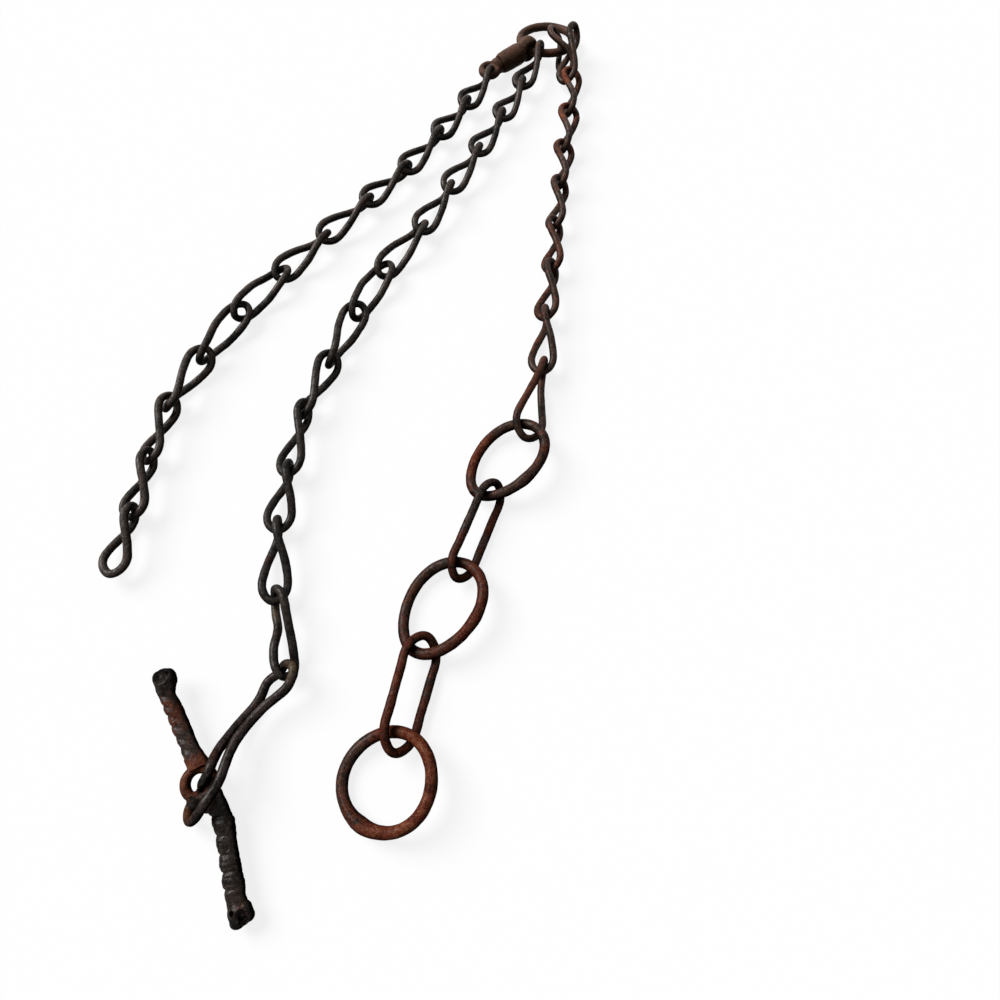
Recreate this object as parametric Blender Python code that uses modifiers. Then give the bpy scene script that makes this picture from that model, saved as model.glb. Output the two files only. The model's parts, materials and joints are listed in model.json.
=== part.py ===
"""Old wrought-iron cattle-tie chain, lying slack on a flat surface.

Three strands of quarter-twisted wire links meet at a swivel ring. One strand ends
free, one ends in a long link that carries a toggle, and one ends in three rings
joined by two ovals.

Run with: blender --background --python part.py
Metres, +Z up. The chain lies on z = 0, its footprint centred on the origin.
"""
import math

import bmesh
import bpy
import numpy as np
from mathutils import Matrix, Vector

MM = 0.001
NAME = "rusty_chain"

# Clearances
JOINT_GAP = 0.25 * MM      # between the round wires of two hooked links
PIN_GAP = 0.3 * MM         # between the swivel's pin and its barrel

# Quarter-twisted links: each loop is bent flat, then twisted by 90 degrees
LINK_WIRE = 4.6 * MM
LINK_HALF_WIDTH = 6.7 * MM     # on the centreline of the wire
LINK_TWIST = math.radians(-90)
BOW_REACH = 1.2                # length of a bow over the half width of its link
BOW_POWER = 1.7                # 2 is an ellipse, less comes to a blunt point
TWIST_SPAN = 0.6               # the twist stops this many half widths from each end

# Strands, joint by joint: x mm, y mm, and the roll in degrees of the link that starts there
LEFT_STRAND = [
    (-10, 524, 75), (-25, 495, 75), (-44, 464, 75), (-66, 430, 75), (-91, 400, 65),
    (-118, 369, 55), (-143, 338, 25), (-165, 306, -10), (-183, 272, -40), (-198, 238, -65),
    (-204, 202, -80), (-207, 167, -90), (-211, 133, -90),
]
MIDDLE_STRAND = [
    (29.5, 550.5, 90), (16, 515, 80), (1, 482, 80), (-16, 447, 70), (-35, 412, 70),
    (-53, 376, 50), (-76, 342, 20), (-91, 306, -16), (-104, 269, -46), (-117, 233, -75),
    (-122, 194, -94), (-124, 159, -98), (-121, 120, -103),
]
RIGHT_STRAND = [
    (54, 524, -25), (51, 488, -25), (46, 451, -30), (42, 416, -45), (37, 379, -50),
    (34, 342, -60), (29, 304, -80), (25.5, 262.5, -80),
]

# Rings and ovals: centre mm, yaw, pitch and roll in degrees, half axes mm, egg shape
RING_WIRE = 6.0 * MM
END_RING_WIRE = 6.2 * MM
RING_1 = ((3.7, 199.9, 8.4), (51, -5.3, -15.7), 26.4, 18.5, 0.11)
RING_2 = ((-31.1, 112.0, 7.6), (61, -1.5, -13), 27.2, 19.6, 0.10)
RING_3 = ((-54.7, 25.1, 8.5), (62, -5, -12.4), 23.2, 23.0, -0.07)
OVAL_WIRE = 4.8 * MM
OVAL_LENGTH = 60.4             # mm, on the centreline
OVAL_1 = ((-12.8, 156.6, 8.0), (69, -0.3, 46), 7.8, 3.0)
OVAL_2 = ((-45.5, 67.1, 8.8), (77, 3.0, 37), 9.3, -6.5)

# First two links of the right strand and its wider end link, all hanging loose:
# start apex mm, end apex mm, roll in degrees
RIGHT_FIRST = ((40.1, 568.5, 15.4), (52.8, 533.6, 5.0), 135)
RIGHT_SECOND = ((56.9, 562.2, 21.7), (48.9, 519.9, 7.3), -62)
RIGHT_END = ((27.5, 268.6, 8.9), (14.9, 213.8, 9.5), -85)
END_LINK_HALF_WIDTH = 9.3 * MM
END_LINK_TWIST = math.radians(55)
END_LINK_TAPER = 0.37          # how much narrower its start bow is

# Swivel: distances along its axis are measured back from the ring's wire
SWIVEL_RING = ((36.5, 568, 6.7), (0, 0, -9.5), 20.8, 20.8, 0.0)
SWIVEL_YAW = math.radians(40.5)
SWIVEL_HEIGHT = 8.9 * MM
BARREL_RADIUS = 7.5 * MM
BARREL_FRONT = -7.5 * MM
BARREL_BACK = -27.5 * MM
NECK_RADIUS = 4.0 * MM         # hole that the pin turns in
NECK_LENGTH = 7.0 * MM
CHAMBER_RADIUS = 5.4 * MM      # space round the pin's head
CHAMBER_LENGTH = 8.0 * MM
BARREL_EYE = 6.3 * MM          # middle line of the eye round the ring
BARREL_EYE_WIRE = 5.2 * MM
BARREL_EYE_WIDTH = 8.0 * MM
COLLAR_RADIUS = 4.7 * MM
SHANK_EYE_AT = -37.6 * MM
SHANK_EYE = 6.1 * MM
SHANK_EYE_WIRE = 4.6 * MM

# Toggle: a twisted square bar with knobbed ends and a flat forged eye
TOGGLE_UPPER = (-171.3, 73, 11.5)
TOGGLE_LOWER = (-119, -32.3, 6.7)
TOGGLE_EYE_AT = 0.483          # part of the way from the upper knob to the lower
TOGGLE_EYE_SIDE = 2.1 * MM     # the eye stands this far off the line of the knobs
TOGGLE_BAR = 9.4 * MM
ARM_TURN = math.radians(180)
UPPER_ARM_SIDE = 3.4 * MM      # the arms leave the eye to one side of its middle
LOWER_ARM_SIDE = 6.6 * MM
KNOB_RADIUS = 6.7 * MM
EYE_RADIUS = 10.5 * MM
EYE_HOLE = 5.75 * MM
EYE_THICK = 7.0 * MM

# Long link, as route keys in mm round its loop
LONG_WIRE = 5.0 * MM
LONG_ROUTE = [
    (-119.5, 74.8, 2.6), (-116.5, 77.1, 2.6), (-113.9, 80, 3.5), (-110.9, 81.4, 8.3),
    (-106.8, 80.2, 12.6), (-104.8, 77.9, 14.3), (-105.2, 73.9, 14.1), (-107.4, 69, 13.2),
    (-111.1, 65.5, 12), (-118.3, 60, 10), (-124.2, 52.8, 10.6), (-129.9, 41.8, 13.7),
    (-132.2, 30, 17), (-133.9, 22.8, 17.7), (-136.9, 17.1, 17.8), (-139.9, 12, 17.6),
    (-142.7, 8.5, 15.2), (-147, 6.8, 9.8), (-150.2, 9, 4.6), (-150.9, 12.8, 2.7),
    (-148.8, 17, 2.6), (-146.2, 20.4, 3.4), (-144.4, 22.8, 8.2), (-141.2, 25.3, 14.6),
    (-139.2, 28.9, 16.9), (-138, 35.9, 14.6), (-134.5, 46.4, 8.4), (-129.3, 55.6, 4.6),
    (-123.4, 65.5, 2.6),
]

# Last link of the middle strand, whose one leg lies under the other, as keys round its loop
MIDDLE_END = [
    (-120.4, 121.5, 10.1), (-117, 119.4, 13.8), (-114.5, 116.1, 14.8), (-112.9, 111, 14.4),
    (-111.5, 105.4, 13.2), (-110.2, 99.9, 11.6), (-108.8, 94.4, 9.8), (-107.7, 88.9, 8.2),
    (-107.4, 84.7, 5.1), (-107.1, 78.9, 4.5), (-110.4, 75.2, 8.5), (-113.4, 76.8, 10.6),
    (-115.6, 80.8, 10.9), (-117.1, 85.5, 9.5), (-117.8, 90.4, 8.6), (-117.7, 95.6, 7),
    (-117.9, 101.1, 5.2), (-119.9, 107.3, 3.4), (-121.5, 113.4, 2.3), (-122, 118.6, 3.5),
]


# ---------------------------------------------------------------- centrelines

def bow_point(angle):
    """Point at an angle on the quarter-ellipse-like end of a loop."""
    c, s = math.cos(angle), math.sin(angle)
    r = (abs(c) ** BOW_POWER + abs(s) ** BOW_POWER) ** (-1 / BOW_POWER)
    return r * c, r * s


def flat_loop(length, half, bow_steps=4, leg_steps=4):
    """Closed outline of a loop with two blunt-pointed bows, lying along X."""
    reach = half * BOW_REACH
    leg = length / 2 - reach
    points = []
    for side in (1, -1):
        for k in range(bow_steps + 1):
            x, y = bow_point(math.pi * (k / bow_steps - 0.5))
            points.append((side * (leg + reach * x), side * half * y))
        for k in range(1, leg_steps):
            points.append((side * leg * (1 - 2 * k / leg_steps), side * half))
    return np.array(points)


def twisted_loop(length, half, twist=LINK_TWIST, taper=0.0, **steps):
    """A flat loop twisted smoothly along its length, its start bow left flat or narrowed."""
    flat = flat_loop(length, half, **steps)
    span = length / 2 - TWIST_SPAN * half
    t = np.clip((flat[:, 0] + span) / (2 * span), 0, 1)
    t = t * t * (3 - 2 * t)
    side = flat[:, 1] * (1 - taper * (1 - t))
    turn = twist * t
    return np.column_stack((flat[:, 0], side * np.cos(turn), side * np.sin(turn)))


def seat_loop(loop, start, end, roll):
    """Lay a loop's centreline from one apex to the other, its start bow rolled about them."""
    along = (end - start) / np.linalg.norm(end - start)
    left = np.cross((0, 0, 1), along)
    left /= np.linalg.norm(left)
    up = np.cross(along, left)
    side = left * math.cos(roll) + up * math.sin(roll)
    rise = up * math.cos(roll) - left * math.sin(roll)
    middle = (start + end) / 2
    return middle + loop[:, :1] * along + loop[:, 1:2] * side + loop[:, 2:] * rise


def place_flat(points, centre, angles):
    """Turn points about X, Y and Z by roll, pitch and yaw, then move them to a centre in mm."""
    yaw, pitch, roll = (math.radians(a) for a in angles)
    turn = Matrix.Rotation(yaw, 3, "Z") @ Matrix.Rotation(pitch, 3, "Y")
    turn = np.array(turn @ Matrix.Rotation(roll, 3, "X"))
    return points @ turn.T + np.array(centre) * MM


def ring_path(centre, angles, a, b, egg, steps=20):
    """A ring pulled a little oval, fuller at one end."""
    t = np.arange(steps) * 2 * math.pi / steps
    flat = np.column_stack((a * np.cos(t), b * np.sin(t) * (1 + egg * np.cos(t)), 0 * t))
    return place_flat(flat * MM, centre, angles)


def oval_path(centre, angles, half, twist):
    """A long oval with pointed bows, slightly twisted from end to end."""
    flat = flat_loop(OVAL_LENGTH, half, bow_steps=4, leg_steps=5)
    t = np.clip(flat[:, 0] / (OVAL_LENGTH - 2 * half) + 0.5, 0, 1)
    turn = math.radians(twist) * (t * t * (3 - 2 * t) - 0.5)
    points = np.column_stack((flat[:, 0], flat[:, 1] * np.cos(turn), flat[:, 1] * np.sin(turn)))
    return place_flat(points * MM, centre, angles)


def dense(path, steps=6):
    """The closed path with points filled in along each of its sides."""
    after = np.roll(path, -1, axis=0)
    t = (np.arange(steps) / steps)[None, :, None]
    return (path[:, None] * (1 - t) + after[:, None] * t).reshape(-1, 3)


def nearest(path, other):
    """Closest distance between two closed centrelines."""
    gaps = np.linalg.norm(dense(path)[:, None] - dense(other)[None], axis=2)
    return gaps.min()


def lay_strand(joints, head=None, tail=None):
    """Centrelines of a strand's links, from joint to joint.

    Each bow reaches past its joint until its wire clears the one that it hooks, and the
    joints rise or sink until every link just rests on the floor. head and tail are the
    pieces that hold the strand's ends, each as a centreline and its wire.
    """
    radius = LINK_WIRE / 2
    spots = [np.array((x * MM, y * MM, radius + LINK_HALF_WIDTH * 0.8)) for x, y, _ in joints]
    count = len(joints) - 1
    rolls = [math.radians(j[2]) for j in joints[:count]]
    holders = {0: head, count: tail}
    reach = np.full(len(joints), 2.8 * MM)
    furthest = np.array([7.0] + [5.2] * (count - 1) + [5.1]) * MM
    for _ in range(40):
        links = []
        for k in range(count):
            along = spots[k + 1] - spots[k]
            along /= np.linalg.norm(along)
            start = spots[k] - along * reach[k]
            end = spots[k + 1] + along * reach[k + 1]
            loop = twisted_loop(np.linalg.norm(end - start), LINK_HALF_WIDTH)
            links.append(seat_loop(loop, start, end, rolls[k]))
        lows = [link[:, 2].min() - radius for link in links]
        for j in range(count + 1):
            holder = holders.get(j)
            if holder:
                path, wire = holder
                link = links[0] if j == 0 else links[-1]
                reach[j] += (wire / 2 + radius + JOINT_GAP - nearest(link, path)) * 0.5
            elif 0 < j < count:
                reach[j] += (LINK_WIRE + JOINT_GAP - nearest(links[j - 1], links[j])) * 0.4
            spots[j][2] -= min(lows[max(j - 1, 0):j + 1]) * 0.5
        reach = np.minimum(reach, furthest)
    return links


# -------------------------------------------------------------------- objects

def clear_scene():
    """Empty the file of whatever it holds."""
    for obj in list(bpy.data.objects):
        bpy.data.objects.remove(obj, do_unlink=True)
    for collection in list(bpy.data.collections):
        bpy.data.collections.remove(collection)


def new_collection(name):
    collection = bpy.data.collections.new(name)
    bpy.context.scene.collection.children.link(collection)
    return collection


def paint(obj, colour, roughness=0.6, metallic=0.5):
    """Give an object a plain material of its own."""
    material = bpy.data.materials.new(obj.name + "_iron")
    material.use_nodes = True
    shader = material.node_tree.nodes["Principled BSDF"]
    shader.inputs["Base Color"].default_value = (*colour, 1)
    shader.inputs["Roughness"].default_value = roughness
    shader.inputs["Metallic"].default_value = metallic
    obj.data.materials.append(material)


def add_wire(name, path, wire, colour):
    """A closed round wire along a centreline."""
    centre = path.mean(axis=0)
    curve = bpy.data.curves.new(name, "CURVE")
    curve.dimensions = "3D"
    curve.bevel_depth = wire / 2
    curve.bevel_resolution = 1
    spline = curve.splines.new("POLY")
    spline.points.add(len(path) - 1)
    for point, place in zip(spline.points, path - centre):
        point.co = (*place, 1)
    spline.use_cyclic_u = True
    spline.use_smooth = True
    obj = bpy.data.objects.new(name, curve)
    obj.location = centre
    parts.objects.link(obj)
    paint(obj, colour)
    return obj


def add_mesh(name, fill, matrix, collection):
    """An object whose mesh a function builds in a bmesh."""
    bm = bmesh.new()
    fill(bm)
    mesh = bpy.data.meshes.new(name)
    bm.to_mesh(mesh)
    bm.free()
    obj = bpy.data.objects.new(name, mesh)
    obj.matrix_world = matrix
    collection.objects.link(obj)
    return obj


def add_turned(name, profile, matrix, collection, steps=10):
    """A turned solid: (radius, height) pairs from the top of the axis down the outside."""
    mesh = bpy.data.meshes.new(name)
    points = [(r, 0, z) for r, z in profile]
    mesh.from_pydata(points, [(k, k + 1) for k in range(len(points) - 1)], [])
    obj = bpy.data.objects.new(name, mesh)
    obj.matrix_world = matrix
    collection.objects.link(obj)
    screw = obj.modifiers.new("turn", "SCREW")
    screw.steps = steps
    screw.render_steps = steps
    screw.use_merge_vertices = True
    screw.merge_threshold = 0.00001
    screw.use_smooth_shade = True
    return obj


def torus_ring(bm, major, minor, width, around=16, across=6):
    """A ring of oval section about Z, by spinning its section full circle."""
    section = bmesh.ops.create_circle(bm, segments=across, radius=minor / 2)["verts"]
    bmesh.ops.rotate(bm, verts=section, matrix=Matrix.Rotation(math.pi / 2, 3, "X"))
    bmesh.ops.scale(bm, vec=(1, 1, width / minor), verts=section)
    bmesh.ops.translate(bm, vec=(major, 0, 0), verts=section)
    bmesh.ops.spin(bm, geom=bm.verts[:] + bm.edges[:], axis=(0, 0, 1), cent=(0, 0, 0),
                   angle=2 * math.pi, steps=around, use_merge=True)
    bmesh.ops.recalc_face_normals(bm, faces=bm.faces)


def combine(obj, other, operation):
    """Join or cut an object by another, which stays as a hidden tool."""
    other.hide_render = True
    other.display_type = "WIRE"
    step = obj.modifiers.new(operation.lower(), "BOOLEAN")
    step.operation = operation
    step.solver = "EXACT"
    step.object = other


def axes(x, y, z, origin):
    """A placement from three unit axes and an origin."""
    turn = Matrix((x, y, z)).transposed().to_4x4()
    return Matrix.Translation(origin) @ turn


def build_swivel(ring_wire_at):
    """The barrel with its eye round the ring, and the shank that turns in the barrel."""
    along = Vector((math.cos(SWIVEL_YAW), math.sin(SWIVEL_YAW), 0))
    across = Vector((-along.y, along.x, 0))
    up = Vector((0, 0, 1))
    base = Vector((ring_wire_at[0], ring_wire_at[1], SWIVEL_HEIGHT))
    turned = axes(-up, across, along, base)

    neck_end = BARREL_BACK + NECK_LENGTH
    chamber_end = neck_end + CHAMBER_LENGTH
    edge = 1.0 * MM
    profile = [
        (0, BARREL_FRONT), (BARREL_RADIUS - 2 * edge, BARREL_FRONT),
        (BARREL_RADIUS, BARREL_FRONT - 2 * edge), (BARREL_RADIUS, BARREL_BACK + edge),
        (BARREL_RADIUS - edge, BARREL_BACK), (NECK_RADIUS, BARREL_BACK),
        (NECK_RADIUS, neck_end), (CHAMBER_RADIUS, neck_end),
        (CHAMBER_RADIUS, chamber_end), (0, chamber_end),
    ]
    barrel = add_turned("swivel_barrel", profile, turned, parts)
    eye_at = axes(up, along, across, base + along * 0.2 * MM)
    eye = add_mesh("barrel_eye", lambda bm: torus_ring(
        bm, BARREL_EYE, BARREL_EYE_WIRE, BARREL_EYE_WIDTH), eye_at, tools)
    combine(barrel, eye, "UNION")
    paint(barrel, (0.10, 0.07, 0.055))

    head = NECK_RADIUS + 1.1 * MM
    pin = NECK_RADIUS - PIN_GAP
    collar = BARREL_BACK - PIN_GAP
    profile = [
        (0, neck_end + 4.5 * MM), (head - edge, neck_end + 4.5 * MM),
        (head, neck_end + 3.5 * MM), (head, neck_end + PIN_GAP), (pin, neck_end + PIN_GAP),
        (pin, collar), (COLLAR_RADIUS - edge / 2, collar), (COLLAR_RADIUS, collar - edge),
        (COLLAR_RADIUS, collar - 2 * edge), (3.4 * MM, collar - 5 * edge),
        (0, collar - 5.5 * edge),
    ]
    shank = add_turned("swivel_shank", profile, turned, parts)
    eye_at = axes(along, across, up, base + along * SHANK_EYE_AT)
    eye = add_mesh("shank_eye", lambda bm: torus_ring(
        bm, SHANK_EYE, SHANK_EYE_WIRE, SHANK_EYE_WIRE), eye_at, tools)
    combine(shank, eye, "UNION")
    paint(shank, (0.12, 0.07, 0.05))


def toggle_arm(bm, start, end, turn, side, aside):
    """A square bar along X that turns evenly and leans in from its flat inner end."""
    bmesh.ops.create_cube(bm, size=1)
    bmesh.ops.scale(bm, vec=(abs(end - start), TOGGLE_BAR, TOGGLE_BAR), verts=bm.verts)
    long_edges = [e for e in bm.edges if abs(e.verts[0].co.x - e.verts[1].co.x) > 1 * MM]
    bmesh.ops.subdivide_edges(bm, edges=long_edges, cuts=6)
    bmesh.ops.translate(bm, vec=((start + end) / 2 * side, 0, 0), verts=bm.verts)
    for vert in bm.verts:
        t = (abs(vert.co.x) - start) / (end - start)
        vert.co = Matrix.Rotation(turn * max(t - 0.1, 0) * side, 3, "X") @ vert.co
        vert.co.y += aside * min(1.1 - t, 1)
    bmesh.ops.triangulate(bm, faces=bm.faces)


def build_toggle():
    """The toggle, as one forging: eye, two twisted arms and two knobs."""
    upper = Vector(TOGGLE_UPPER) * MM
    lower = Vector(TOGGLE_LOWER) * MM
    along = (lower - upper).normalized()
    across = Vector((0, 0, 1)).cross(along).normalized()
    up = along.cross(across)
    centre = upper.lerp(lower, TOGGLE_EYE_AT)
    place = axes(along, across, up, centre)

    def disc(bm):
        bmesh.ops.create_cone(bm, cap_ends=True, segments=20, depth=EYE_THICK,
                              radius1=EYE_RADIUS, radius2=EYE_RADIUS)

    def hole(bm):
        bmesh.ops.create_cone(bm, cap_ends=True, segments=16, depth=3 * EYE_THICK,
                              radius1=EYE_HOLE, radius2=EYE_HOLE)

    eye_place = place @ Matrix.Translation((0, TOGGLE_EYE_SIDE, 0))
    toggle = add_mesh("toggle", disc, eye_place, parts)
    ends = ((-1, upper, UPPER_ARM_SIDE), (1, lower, LOWER_ARM_SIDE))
    for side, end, aside in ends:
        far = (end - centre).length
        start = EYE_RADIUS - 2.5 * MM
        arm = add_mesh(f"toggle_arm_{side}", lambda bm: toggle_arm(
            bm, start, far + 1.3 * MM, ARM_TURN, side, aside), place, tools)
        combine(toggle, arm, "UNION")
        knob = add_mesh(f"toggle_knob_{side}", lambda bm: bmesh.ops.create_uvsphere(
            bm, u_segments=10, v_segments=6, radius=KNOB_RADIUS),
            place @ Matrix.Translation((side * far, 0, 0)), tools)
        combine(toggle, knob, "UNION")
    combine(toggle, add_mesh("toggle_hole", hole, eye_place, tools), "DIFFERENCE")
    paint(toggle, (0.13, 0.07, 0.045))


def apex_loop(ends, half=LINK_HALF_WIDTH, twist=LINK_TWIST, taper=0.0):
    """A link between two apexes given in mm, with its roll in degrees."""
    start, end, roll = np.array(ends[0]) * MM, np.array(ends[1]) * MM, math.radians(ends[2])
    loop = twisted_loop(np.linalg.norm(end - start), half, twist, taper)
    return seat_loop(loop, start, end, roll)


def stand_on_origin():
    """Move every piece so that the footprint is centred on the origin, resting on z = 0."""
    bpy.context.view_layer.update()
    graph = bpy.context.evaluated_depsgraph_get()
    corners = []
    for obj in parts.objects:
        shape = obj.evaluated_get(graph)
        mesh = shape.to_mesh()
        corners += [shape.matrix_world @ v.co for v in mesh.vertices]
        shape.to_mesh_clear()
    low = Vector(min(c[k] for c in corners) for k in range(3))
    high = Vector(max(c[k] for c in corners) for k in range(3))
    shift = Vector(((low.x + high.x) / 2, (low.y + high.y) / 2, low.z))
    for obj in list(parts.objects) + list(tools.objects):
        obj.location -= shift
    print("moved by", [round(v * 1000, 3) for v in -shift])


clear_scene()
parts = new_collection(NAME)
tools = new_collection(NAME + "_tools")

IRON = (0.085, 0.065, 0.055)
RUST = (0.17, 0.075, 0.045)

swivel_ring = ring_path(*SWIVEL_RING)
add_wire("swivel_ring", swivel_ring, RING_WIRE, IRON)
hold_angle = SWIVEL_YAW + math.pi
ring_wire_at = (np.array(SWIVEL_RING[0][:2])
                + SWIVEL_RING[2] * np.array((math.cos(hold_angle), math.sin(hold_angle)))) * MM
build_swivel(ring_wire_at)

shank_eye = ring_wire_at + SHANK_EYE_AT * np.array((math.cos(SWIVEL_YAW), math.sin(SWIVEL_YAW)))
eye_path = ring_path((shank_eye[0] / MM, shank_eye[1] / MM, SWIVEL_HEIGHT / MM), (0, 0, 0),
                     SHANK_EYE / MM, SHANK_EYE / MM, 0)
long_link = np.array(LONG_ROUTE) * MM
middle_end = np.array(MIDDLE_END) * MM
second = apex_loop(RIGHT_SECOND)
end_link = apex_loop(RIGHT_END, END_LINK_HALF_WIDTH, END_LINK_TWIST, END_LINK_TAPER)

strands = {
    "left": lay_strand(LEFT_STRAND, head=(eye_path, SHANK_EYE_WIRE)),
    "middle": lay_strand(MIDDLE_STRAND, head=(swivel_ring, RING_WIRE), tail=(middle_end, LINK_WIRE))
    + [middle_end],
    "right": [apex_loop(RIGHT_FIRST), second]
    + lay_strand(RIGHT_STRAND, head=(second, LINK_WIRE), tail=(end_link, LINK_WIRE))
    + [end_link],
}
for strand, links in strands.items():
    for k, link in enumerate(links, 1):
        add_wire(f"{strand}_link_{k:02d}", link, LINK_WIRE, IRON)

add_wire("long_link", long_link, LONG_WIRE, IRON)
build_toggle()

add_wire("ring_1", ring_path(*RING_1), RING_WIRE, RUST)
add_wire("ring_2", ring_path(*RING_2), RING_WIRE, RUST)
add_wire("ring_3", ring_path(*RING_3), END_RING_WIRE, RUST)
add_wire("oval_1", oval_path(*OVAL_1), OVAL_WIRE, IRON)
add_wire("oval_2", oval_path(*OVAL_2), OVAL_WIRE, RUST)

stand_on_origin()
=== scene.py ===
# %% [markdown]
# # A rusty cattle-tie chain
#
# The object is an old iron chain that once tied a cow in its stall. Three strands of
# quarter-twisted wire links meet at a ring with a swivel. One strand ends free, one ends in
# a long link that holds a toggle, and one ends in three big rings joined by two ovals.
#
# A chain maker bent each link from rod, closed it, and gave it a quarter turn. Everything
# here is made in the same order: a centreline first, then a round rod along it, then the
# hammer marks, the rust pits and the colours of a hundred years in a barn.

import json
import math

import bmesh
import bpy
import numpy as np
from mathutils import Matrix, Vector, noise


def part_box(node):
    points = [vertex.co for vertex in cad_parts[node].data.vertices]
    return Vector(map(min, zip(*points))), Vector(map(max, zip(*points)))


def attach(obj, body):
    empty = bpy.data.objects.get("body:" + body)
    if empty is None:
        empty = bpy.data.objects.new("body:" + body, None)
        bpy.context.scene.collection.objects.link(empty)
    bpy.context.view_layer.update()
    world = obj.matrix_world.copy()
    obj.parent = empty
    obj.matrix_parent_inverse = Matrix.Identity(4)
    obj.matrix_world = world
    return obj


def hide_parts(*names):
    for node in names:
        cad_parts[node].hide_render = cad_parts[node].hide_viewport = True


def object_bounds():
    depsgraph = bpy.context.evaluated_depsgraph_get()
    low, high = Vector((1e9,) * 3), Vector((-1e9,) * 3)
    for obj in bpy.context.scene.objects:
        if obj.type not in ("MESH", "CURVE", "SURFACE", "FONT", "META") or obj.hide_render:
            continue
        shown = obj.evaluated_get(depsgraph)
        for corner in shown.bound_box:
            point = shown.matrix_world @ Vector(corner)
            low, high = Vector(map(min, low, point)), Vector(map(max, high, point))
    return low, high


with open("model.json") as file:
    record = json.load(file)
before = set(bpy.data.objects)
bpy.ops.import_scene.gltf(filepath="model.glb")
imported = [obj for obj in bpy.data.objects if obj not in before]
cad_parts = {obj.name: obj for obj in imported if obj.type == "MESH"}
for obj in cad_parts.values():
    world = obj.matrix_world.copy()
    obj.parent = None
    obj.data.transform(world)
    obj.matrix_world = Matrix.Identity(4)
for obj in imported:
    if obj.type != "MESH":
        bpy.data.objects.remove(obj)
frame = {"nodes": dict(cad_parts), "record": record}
nodes = frame["nodes"]
cad_low, cad_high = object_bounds()
MM = 0.001
scene = bpy.context.scene
print("pieces:", len(nodes), "box mm:", [round(v / MM, 1) for v in cad_high - cad_low])

# %% [markdown]
# ## Camera, floor and light
#
# The chain is seen from 40 cm above its near end, looking steeply down, so the near rings
# look larger than the far swivel. A wide lens close to the floor gives that.

# %% Camera
CAMERA_HEIGHT = 0.400
CAMERA_ASIDE = 0.0786         # to the right of the chain's middle
CAMERA_AHEAD = 0.0389         # in from the chain's near end
CAMERA_DROP = 66.0            # degrees below the horizon
camera_data = bpy.data.cameras.new("camera")
camera_data.lens = 27.25
camera_data.sensor_width = 36.0
camera_data.clip_start = 0.01
camera = bpy.data.objects.new("camera", camera_data)
middle_x = (cad_low.x + cad_high.x) / 2
camera.location = (middle_x + CAMERA_ASIDE, cad_low.y + CAMERA_AHEAD, CAMERA_HEIGHT)
camera.rotation_euler = (math.radians(90 - CAMERA_DROP), 0, 0)
scene.collection.objects.link(camera)
scene.camera = camera
print("camera at", [round(v, 4) for v in camera.location])

# %% [markdown]
# The floor is plain and pale. Seen by the eye it is white, with the chain's soft shadow
# on it. It throws back only some light, so that the undersides of the rods stay dark. The
# surroundings are made in the same way: white to look at, and dim as a light.


# %% Rays that show a thing
def seen_rays(tree):
    """1 for rays that show a thing: from the camera, off gloss, or through glass."""
    path = tree.nodes.new("ShaderNodeLightPath")
    first = tree.nodes.new("ShaderNodeMath")
    first.operation = "MAXIMUM"
    tree.links.new(path.outputs["Is Camera Ray"], first.inputs[0])
    tree.links.new(path.outputs["Is Glossy Ray"], first.inputs[1])
    both = tree.nodes.new("ShaderNodeMath")
    both.operation = "MAXIMUM"
    tree.links.new(first.outputs[0], both.inputs[0])
    tree.links.new(path.outputs["Is Transmission Ray"], both.inputs[1])
    return both.outputs[0]


# %% Floor
FLOOR_COLOUR = 0.16
FLOOR_REACH = 4.0             # from its middle to its edge
floor_material = bpy.data.materials.new("pale_floor")
floor_material.use_nodes = True
tree = floor_material.node_tree
tree.nodes.clear()
matt = tree.nodes.new("ShaderNodeBsdfDiffuse")
matt.inputs["Color"].default_value = (FLOOR_COLOUR, FLOOR_COLOUR, FLOOR_COLOUR, 1)
glow = tree.nodes.new("ShaderNodeEmission")
lift = tree.nodes.new("ShaderNodeMath")
lift.operation = "MULTIPLY"
lift.inputs[1].default_value = 1.0 - FLOOR_COLOUR
tree.links.new(seen_rays(tree), lift.inputs[0])
tree.links.new(lift.outputs[0], glow.inputs["Strength"])
both = tree.nodes.new("ShaderNodeAddShader")
tree.links.new(matt.outputs[0], both.inputs[0])
tree.links.new(glow.outputs[0], both.inputs[1])
out = tree.nodes.new("ShaderNodeOutputMaterial")
tree.links.new(both.outputs[0], out.inputs["Surface"])

bm = bmesh.new()
bmesh.ops.create_grid(bm, x_segments=1, y_segments=1, size=FLOOR_REACH)
floor_mesh = bpy.data.meshes.new("floor")
bm.to_mesh(floor_mesh)
bm.free()
floor_mesh.materials.append(floor_material)
floor = bpy.data.objects.new("floor", floor_mesh)
scene.collection.objects.link(floor)
print("floor m across:", 2 * FLOOR_REACH)

# %% Surroundings
WORLD_LIGHT = 0.10
world = bpy.data.worlds.new("studio")
world.use_nodes = True
scene.world = world
tree = world.node_tree
background = tree.nodes["Background"]
background.inputs["Color"].default_value = (1, 1, 1, 1)
level = tree.nodes.new("ShaderNodeMapRange")
level.inputs["To Min"].default_value = WORLD_LIGHT
level.inputs["To Max"].default_value = 1.0
tree.links.new(seen_rays(tree), level.inputs["Value"])
tree.links.new(level.outputs["Result"], background.inputs["Strength"])
print("surroundings, as a light:", WORLD_LIGHT)

# %% [markdown]
# One wide, soft lamp stands in for a window to the left of and behind the chain. A sun lamp
# is used because its light is equally strong all over the floor.

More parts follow.
